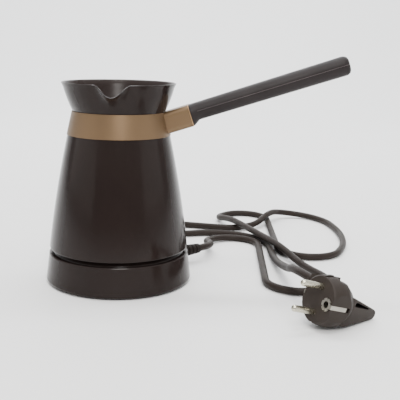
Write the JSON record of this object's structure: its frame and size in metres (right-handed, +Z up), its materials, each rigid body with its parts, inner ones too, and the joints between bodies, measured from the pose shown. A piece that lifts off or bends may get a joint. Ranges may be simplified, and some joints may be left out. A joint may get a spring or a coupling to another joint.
{
  "type": "electric turkish coffee maker",
  "caption": "Cordless long-handled coffee pot with a flared collar, pouring notch and rocker switch, on a round power base with cord and plug.",
  "frame": {"origin": "on the pot's vertical axis, at the level of the table", "axes": "+Z up along the pot's axis, +X towards the handle, -Y towards the pouring notch"},
  "size_m": [0.2756, 0.3631, 0.1877],
  "materials": {
    "gloss_shell": "glossy dark brown, nearly black",
    "satin_bronze": "satin bronze paint",
    "grip": "matte dark brown-grey",
    "dark_plastic": "matte black",
    "rubber_black": "matte",
    "relief_rubber": "matte, moulded",
    "cord_sheath": "matte, slightly soft sheen",
    "plug_plastic": "matte taupe",
    "pin_metal": "nickel-plated, bright",
    "contact_brass": "bright",
    "steel": "satin",
    "vessel_steel": "satin, spun",
    "plate_alloy": "as cast",
    "element_steel": "dull, heat-browned",
    "ceramic": "matte ceramic white",
    "connector_plastic": "matte off-white",
    "silicone": "matte red silicone",
    "switch_black": "satin black",
    "rocker_red": "translucent red",
    "lamp_glass": "clear orange-red",
    "wire_sheath": "brown, blue and green sheaths"
  },
  "bodies": {
    "base": {"base_cover": "gloss_shell", "base_pan": "dark_plastic", "rubber_feet": "rubber_black", "base_screws": "steel", "base_connector": "connector_plastic", "base_contacts": "contact_brass", "base_wires": "wire_sheath", "cord_clamp": "dark_plastic", "cord_clamp_screws": "steel", "cord_tail": "cord_sheath", "strain_relief": "relief_rubber", "power_cord": "cord_sheath", "plug_body": "plug_plastic", "plug_pins": "pin_metal", "plug_earth_clips": "pin_metal"},
    "pot_socket": {"pot_connector": "connector_plastic", "pot_contacts": "contact_brass"},
    "pot": {"pot_shell": "gloss_shell", "pot_collar": "gloss_shell", "neck_band": "satin_bronze", "inner_vessel": "vessel_steel", "vessel_gasket": "silicone", "heating_plate": "plate_alloy", "heating_element": "element_steel", "element_insulators": "ceramic", "thermostat": "ceramic", "thermal_fuse": "ceramic", "pot_wires": "wire_sheath", "pot_bottom_cover": "dark_plastic", "bottom_screws": "steel", "handle_grip": "grip", "handle_screw": "steel", "handle_insert": "contact_brass", "switch_body": "switch_black", "switch_terminals": "contact_brass", "pilot_lamp": "lamp_glass"},
    "rocker": {"rocker_button": "rocker_red"}
  },
  "joints": [
    {"name": "pot_lift", "type": "slide", "parent": "base", "child": "pot_socket", "axis": [0, 0, 1], "range_m": [0, 0.06]},
    {"name": "pot_spin", "type": "hinge", "parent": "pot_socket", "child": "pot", "pos_m": [0, 0, 0.04], "axis": [0, 0, 1], "continuous": true},
    {"name": "rocker_tip", "type": "hinge", "parent": "pot", "child": "rocker", "pos_m": [0, 0.055, 0.0428], "axis": [0, 0, 1], "range_deg": [0, 20]}
  ]
}
